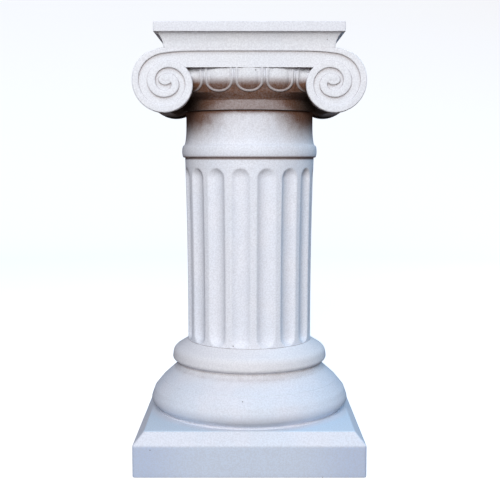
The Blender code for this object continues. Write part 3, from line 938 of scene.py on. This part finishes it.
dart_rings = [[tuple(on_echinus(0, CARVING_START, 0))]]
for height, width in ((CARVING_START, 0.0019), (head_top, 0.0016), (head_top - 0.001, 0.0042)):
    places = ((width, 0), (0, -0.002), (-width, 0), (0, 0.0022))
    ring = [tuple(on_echinus(across, height, stand)) for across, stand in places]
    dart_rings.append(ring)
dart_rings.append([tuple(on_echinus(0, CANALIS_FOOT - DART_DROP, 0.0004))])
darts = skin("darts", dart_rings)
on_row(darts, EGG_COUNT - 1, capital_stone)
on_both_faces(darts, capital_stone)

# %% [markdown]
# ## Scrolls
#
# On each face one raised band runs from the eye of the left scroll, out along its spiral, straight
# across under the abacus and into the eye of the right scroll. The stone inside it is sunk by about
# 3 mm. A mathematical spiral loses the same radius on every turn, but the carved one was drawn with
# compasses from several centres, so its two edges are given by their radii at some turns, and the path
# between them is interpolated. The band itself is a section swept along that path, which Geometry
# Nodes do with `Curve to Mesh`: the path carries the width as a factor, and the tree has the section's
# sizes. The band thins out to a tongue at the eye, which is an oval button of its own.

# %% Shape of the spiral
SCROLL_OFFSET = 0.1388
SCROLL_CENTRE = ABACUS_FOOT - 0.0553
SUNK = 0.0029
FACE = 0.1412
BAND_WIDTH = 0.013
BAND_DEPTH = 0.009
BAND_EDGE = 0.0023
STRAIGHT_RISE = 0.0030
# Turn in degrees from the top outwards, outer radius, inner radius
SPIRAL_STATIONS = (
    (-20, 0.0566, 0.0498), (0, 0.0562, 0.0472), (20, 0.0560, 0.0461), (45, 0.0571, 0.0460),
    (76, 0.0561, 0.0451), (90, 0.0553, 0.0443), (180, 0.0500, 0.0376), (270, 0.0449, 0.0322),
    (360, 0.0348, 0.0228), (450, 0.0303, 0.0160), (540, 0.0249, 0.0136), (606, 0.0240, 0.0112),
    (660, 0.0190, 0.0060), (700, 0.0152, 0.0022), (740, 0.0125, 0.0000), (780, 0.0120, 0.0000),
)
SPIRAL_END = 715


def spiral_edges(turn):
    """Outer and inner radius of the band at a turn, on a smooth line through the stations."""
    turns = [station[0] for station in SPIRAL_STATIONS]
    i = max(k for k in range(1, len(turns) - 2) if turns[k] <= turn or k == 1)
    reach = turns[i + 1] - turns[i]
    share = (turn - turns[i]) / reach
    radii = []
    for column in (1, 2):
        before, start, end, after = (SPIRAL_STATIONS[i + k][column] for k in (-1, 0, 1, 2))
        leaving = (end - before) / (turns[i + 1] - turns[i - 1]) * reach
        arriving = (after - start) / (turns[i + 2] - turns[i]) * reach
        curve = start + leaving * share
        curve += (3 * (end - start) - 2 * leaving - arriving) * share ** 2
        curve += (2 * (start - end) + leaving + arriving) * share ** 3
        radii.append(curve)
    return radii


def scroll_place(radius, turn, out=0.0):
    angle = math.radians(turn)
    across = SCROLL_OFFSET + radius * math.sin(angle)
    return Vector((across, -out, SCROLL_CENTRE + radius * math.cos(angle)))


def straight_edges(x):
    """Heights of the band's upper and lower edge between the scrolls, at x from the middle."""
    near = (x / SCROLL_OFFSET) ** 6
    outer, inner = spiral_edges(0)
    lower = SCROLL_CENTRE + inner + STRAIGHT_RISE * (1 - near)
    return lower + BAND_WIDTH + (outer - inner - BAND_WIDTH) * near, lower


# %% Path of the band
TURN_STEP = 3
TONGUE_STEPS = 8
STRAIGHT_STEPS = 28

half_path = []
for turn in range(SPIRAL_END, 0, -TURN_STEP):
    outer, inner = spiral_edges(turn)
    half_path.append((scroll_place((outer + inner) / 2, turn, FACE), (outer - inner) / BAND_WIDTH))
tongue, tongue_width = half_path[0]
heading = (tongue - half_path[1][0]).normalized()
for i in range(1, TONGUE_STEPS + 1):
    along = math.sin(math.pi / 2 * i / TONGUE_STEPS)
    width = max(0.04, math.sqrt(1 - along * along)) * tongue_width
    half_path.insert(0, (tongue + heading * along * tongue_width * BAND_WIDTH / 2, width))
for i in range(STRAIGHT_STEPS):
    x = SCROLL_OFFSET * (1 - i / STRAIGHT_STEPS)
    upper, lower = straight_edges(x)
    half_path.append((Vector((x, -FACE, (upper + lower) / 2)), (upper - lower) / BAND_WIDTH))
upper, lower = straight_edges(0)
mirrored = [(Vector((-place.x, place.y, place.z)), width) for place, width in reversed(half_path)]
band_path = half_path + [(Vector((0, -FACE, (upper + lower) / 2)), 1.0)] + mirrored
print(f"{len(band_path)} points from the right eye to the left one")

# %% Swept band
bands = add_piece("scroll_bands", [place for place, width in band_path], [])
bands.data.edges.add(len(band_path) - 1)
for i, edge in enumerate(bands.data.edges):
    edge.vertices = (i, i + 1)
widths = bands.data.attributes.new("width share", "FLOAT", "POINT")
widths.data.foreach_set("value", [width for place, width in band_path])

sweep_band, given = new_tree("sweep_band", {
    "Width": "Float", "Depth": "Float", "Edge": "Float", "Facing": "Vector", "Material": "Material",
})
line = add_node(sweep_band, "GeometryNodeMeshToCurve", None, {"Mesh": given["Geometry"]})
faced = {"Curve": line, "Normal": given["Facing"]}
line = add_node(sweep_band, "GeometryNodeSetCurveNormal", {"mode": "FREE"}, faced)
section_size = {"Width": given["Depth"], "Height": given["Width"]}
section = add_node(sweep_band, "GeometryNodeCurvePrimitiveQuadrilateral", None, section_size)
rounding = {"Curve": section, "Count": 6, "Radius": given["Edge"]}
section = add_node(sweep_band, "GeometryNodeFilletCurve", {"mode": "POLY"}, rounding)
sink = add_node(sweep_band, "ShaderNodeCombineXYZ", None, {0: given["Depth"] * -0.5})
sunk_section = {"Geometry": section, "Translation": sink}
section = add_node(sweep_band, "GeometryNodeTransform", None, sunk_section)
number = {"data_type": "FLOAT"}
share = add_node(sweep_band, "GeometryNodeInputNamedAttribute", number, {"Name": "width share"})
swept = {"Curve": line, "Profile Curve": section, "Scale": share, "Fill Caps": True}
end_tree(sweep_band, add_node(sweep_band, "GeometryNodeCurveToMesh", None, swept), given["Material"])

use_tree(bands, sweep_band, {
    "Width": BAND_WIDTH, "Depth": BAND_DEPTH, "Edge": BAND_EDGE, "Facing": (0, -1, 0),
    "Material": capital_stone,
})
on_both_faces(bands, capital_stone)

# %% Eyes
EYE_RISE = 0.0040
EYE_HALF_WIDTH = 0.0115
EYE_HALF_HEIGHT = 0.0088
EYE_EDGE = 0.25
EYE_SUNK = 0.0003
EYE_POINTS = 48

eye_profile = soften([(0, 0.0), (1, 0.0), (1, -1.0), (0, -1.0)], EYE_EDGE, 6)
eye_rings = []
for reach, depth in eye_profile:
    front = FACE - EYE_SUNK + depth * BAND_DEPTH
    eye_rings.append([
        (SCROLL_OFFSET + x * EYE_HALF_WIDTH, -front, SCROLL_CENTRE + EYE_RISE + y * EYE_HALF_HEIGHT)
        for x, y, z in round_ring(reach, 0, EYE_POINTS)
    ])
eyes = skin("scroll_eyes", eye_rings)
mirror = eyes.modifiers.new("left eye", "MIRROR")
mirror.use_mirror_merge = False
on_both_faces(eyes, capital_stone)

# %% [markdown]
# ## Plates behind the bands
#
# Behind each band stands a plate of stone, whose front is the sunk ground of the scrolls and of the
# channel between them. Its outline follows the band's outer edge, a hair inside it, so that the two
# never share a face. The outline is one face at the front and one at the back, with a wall between
# them, and a Bevel modifier takes the sharpness off its edges.

# %% Plates
PLATE_BACK = FACE - 0.024
PLATE_TOP = ABACUS_FOOT + 0.0025
PLATE_TOP_HALF = 0.120
PLATE_ARRIS = 0.0007
HAIR = 0.00015

plate_half = [Vector((0, 0, PLATE_TOP)), Vector((PLATE_TOP_HALF, 0, PLATE_TOP))]
for turn in range(0, 360, TURN_STEP):
    place = scroll_place(spiral_edges(turn)[0] - HAIR, turn)
    if turn > 270 and place.z > CANALIS_FOOT:
        break
    plate_half.append(place)
plate_half += [Vector((plate_half[-1].x, 0, CANALIS_FOOT)), Vector((0, 0, CANALIS_FOOT))]
outline = plate_half + [Vector((-point.x, 0, point.z)) for point in reversed(plate_half[1:-1])]
front = [(point.x, -FACE + SUNK, point.z) for point in outline]
back = [(point.x, -PLATE_BACK, point.z) for point in outline]
count = len(outline)
plate_faces = [list(range(count)), list(range(2 * count - 1, count - 1, -1))]
plate_faces += [[i, (i + 1) % count, count + (i + 1) % count, count + i] for i in range(count)]
plates = add_piece("scroll_plates", front + back, plate_faces)
arris = plates.modifiers.new("arris", "BEVEL")
arris.width = PLATE_ARRIS
arris.segments = 2
arris.limit_method = "ANGLE"
arris.angle_limit = math.radians(50)
on_both_faces(plates, capital_stone)

# %% [markdown]
# ## Bolsters
#
# The front and the back scroll are the two ends of a roll, the bolster, which is pinched in the middle
# by a belt. The picture hides it behind the scrolls, so the usual plain form is made: a trumpet curve
# from each plate down to the waist, and a belt of a low bead between two high ones. It is turned about
# Z and then laid down along Y in its mesh.

# %% Bolsters
BOLSTER_OFFSET = 0.1447
BOLSTER_DROP = 0.0545
BOLSTER_END = 0.0485
BOLSTER_WAIST = 0.041
BOLSTER_INTO_PLATE = 0.006
BOLSTER_ARRIS = 0.0006
BOLSTER_POINTS = 96
TRUMPET_STEPS = 12
BELT_HALF = 0.015
BELT_STAND = 0.003
BEAD_STEPS = 8
# Middle, half width and stand of the outer bead and of the inner one
BEADS = ((0.0125, 0.0025, BELT_STAND), (0.004, 0.006, BELT_STAND * 0.45))

end_along = PLATE_BACK + BOLSTER_INTO_PLATE
bolster_profile = [(0, end_along), (BOLSTER_END, end_along)]
for i in range(TRUMPET_STEPS + 1):
    share = i / TRUMPET_STEPS
    radius = BOLSTER_END - (BOLSTER_END - BOLSTER_WAIST) * math.sin(math.pi / 2 * share)
    bolster_profile.append((radius, PLATE_BACK + (BELT_HALF - PLATE_BACK) * share))
for middle, reach, stand in BEADS:
    for i in range(BEAD_STEPS + 1):
        angle = math.pi * i / BEAD_STEPS
        rise = 0 if i in (0, BEAD_STEPS) else stand * math.sin(angle) ** 0.5
        bolster_profile.append((BOLSTER_WAIST + rise, middle + reach * math.cos(angle)))
bolster_profile = [point for point in bolster_profile if point[1] > 0.0005]
bolster_profile += [(radius, -along) for radius, along in reversed(bolster_profile)]
bolster_levels = spread(soften(bolster_profile, BOLSTER_ARRIS), 0.005)
bolsters = skin("bolsters", [round_ring(*level, BOLSTER_POINTS) for level in bolster_levels])
bolster_middle = Matrix.Translation((BOLSTER_OFFSET, 0, ABACUS_FOOT - BOLSTER_DROP))
bolsters.data.transform(bolster_middle @ Matrix.Rotation(math.pi / 2, 4, "X"))
on_both_faces(bolsters, capital_stone)

# %% [markdown]
# ## Core and abacus
#
# Between the two plates the capital is filled by a plain core. On top lies the abacus, a square slab
# with an upright face, the fascia, and a hollow moulding, the cavetto, below it. A quarter circle is
# too hollow for this cavetto, so its curve is mixed with a little of a straight slope.

# %% Core
CORE_CORNER = 0.0012
CORE_BEHIND_FACE = 0.012

core_top = ABACUS_FOOT + HIDDEN / 2
core_foot = CANALIS_FOOT + HIDDEN / 2
core_profile = [(0, core_top), (SCROLL_OFFSET, core_top), (SCROLL_OFFSET, core_foot), (0, core_foot)]
core_levels = spread(soften(core_profile, 0.001), 0.006)
core_depth = (FACE - CORE_BEHIND_FACE) / SCROLL_OFFSET
core = skin("capital_core", [
    [(x, y * core_depth, z) for x, y, z in square_ring(half, height, CORE_CORNER)]
    for half, height in core_levels
])
finished(core, "capital", capital_stone)

# %% Abacus
ABACUS_HALF = 0.3134 / 2
ABACUS_CORNER = 0.0016
ABACUS_ARRIS = 0.0014
FASCIA_FOOT = CAPITAL_TOP - 0.016
FASCIA_STEP = 0.0008
CAVETTO_RUN = 0.0147
CAVETTO_STEPS = 12
STRAIGHT_SHARE = 0.12

abacus_profile = [(0, CAPITAL_TOP), (ABACUS_HALF, CAPITAL_TOP), (ABACUS_HALF, FASCIA_FOOT)]
for i in range(CAVETTO_STEPS + 1):
    angle = math.pi / 2 * i / CAVETTO_STEPS
    fallen = 1 - math.cos(angle)
    inwards = (1 - STRAIGHT_SHARE) * math.sin(angle) + STRAIGHT_SHARE * fallen
    half = ABACUS_HALF - FASCIA_STEP - CAVETTO_RUN * inwards
    abacus_profile.append((half, FASCIA_FOOT - (FASCIA_FOOT - ABACUS_FOOT) * fallen))
abacus_profile.append((0, ABACUS_FOOT))
abacus_levels = spread(soften(abacus_profile, ABACUS_ARRIS), 0.005)
abacus = skin("abacus", [square_ring(half, height, ABACUS_CORNER) for half, height in abacus_levels])
finished(abacus, "capital", capital_stone)

# %% [markdown]
# ## Floor and light
#
# The picture is a cut-out on white. A pale round floor whose rim bends up into a wall gives the same
# plain ground without a horizon, from every side. It glows a little, so that it stays white, and sends
# no light on to the column, which would fill the dark undersides.
#
# The light is one soft panel behind the camera, only a little above it, so upright faces are bright
# and undersides dark. A blue panel high on the right gives the cool tint of that side, and a dim sky,
# blue above and warm below, fills the shadows a little.

# %% Floor
STAGE_RADIUS = 5.0
STAGE_BEND = 1.6
STAGE_POINTS = 96
BEND_ROWS = 16
WALL_TOP = 4.6
GLOW = 0.62

stage_profile = [Vector((STAGE_RADIUS, WALL_TOP))]
for i in range(BEND_ROWS + 1):
    angle = math.pi / 2 * i / BEND_ROWS
    out = STAGE_RADIUS - STAGE_BEND * (1 - math.cos(angle))
    stage_profile.append(Vector((out, STAGE_BEND * (1 - math.sin(angle)))))
stage_profile.append(Vector((0, 0)))
floor = skin("floor", [round_ring(*level, STAGE_POINTS) for level in stage_profile])
floor.data.shade_smooth()
paper = bpy.data.materials.new("pale paper")
paper.use_nodes = True
paper_surface = paper.node_tree.nodes["Principled BSDF"]
paper_surface.inputs["Base Color"].default_value = (0.93, 0.93, 0.935, 1)
paper_surface.inputs["Roughness"].default_value = 0.9
paper_surface.inputs["Emission Color"].default_value = (1, 1, 1, 1)
paper_surface.inputs["Emission Strength"].default_value = GLOW
floor.data.materials.append(paper)
floor.visible_diffuse = False
floor.visible_glossy = False
print(f"floor: {2 * STAGE_RADIUS:.0f} m across, with a wall {WALL_TOP} m high")


# %% Lights
def soft_panel(name, place, target, width, height, watts, colour):
    panel = bpy.data.lights.new(name, "AREA")
    panel.shape = "RECTANGLE"
    panel.size = width
    panel.size_y = height
    panel.energy = watts
    panel.color = colour
    stand = bpy.data.objects.new(name, panel)
    stand.location = place
    stand.rotation_euler = (Vector(target) - Vector(place)).to_track_quat("-Z", "Y").to_euler()
    stand.visible_camera = False
    bpy.context.scene.collection.objects.link(stand)
    print(f"{name}: {width} x {height} m, {watts} W")


soft_panel(
    "key", place=(-0.3, -3.15, 1.65), target=(0, 0, 0.4),
    width=1.4, height=1.3, watts=105, colour=(1.0, 0.995, 0.98),
)
soft_panel(
    "sky light", place=(2.8, 1.2, 2.4), target=(0, 0, 0.3),
    width=2.0, height=2.0, watts=55, colour=(0.40, 0.72, 1.0),
)

# %% Sky
SKY_ABOVE = (0.27, 0.315, 0.41)
SKY_BELOW = (0.085, 0.060, 0.045)

sky = bpy.data.worlds.new("sky")
sky.use_nodes = True
sky_tree = sky.node_tree
direction = add_node(sky_tree, "ShaderNodeTexCoord", output="Generated")
upwards = add_node(sky_tree, "ShaderNodeSeparateXYZ", None, {"Vector": direction}, "Z")
sky_colour = blend_colours(sky_tree, between(upwards, -0.2, 0.5), SKY_BELOW, SKY_ABOVE)
sky_tree.links.new(sky_colour.socket, sky_tree.nodes["Background"].inputs["Color"])
bpy.context.scene.world = sky
bpy.context.scene.view_settings.view_transform = "Standard"
bpy.context.scene.view_settings.look = "None"
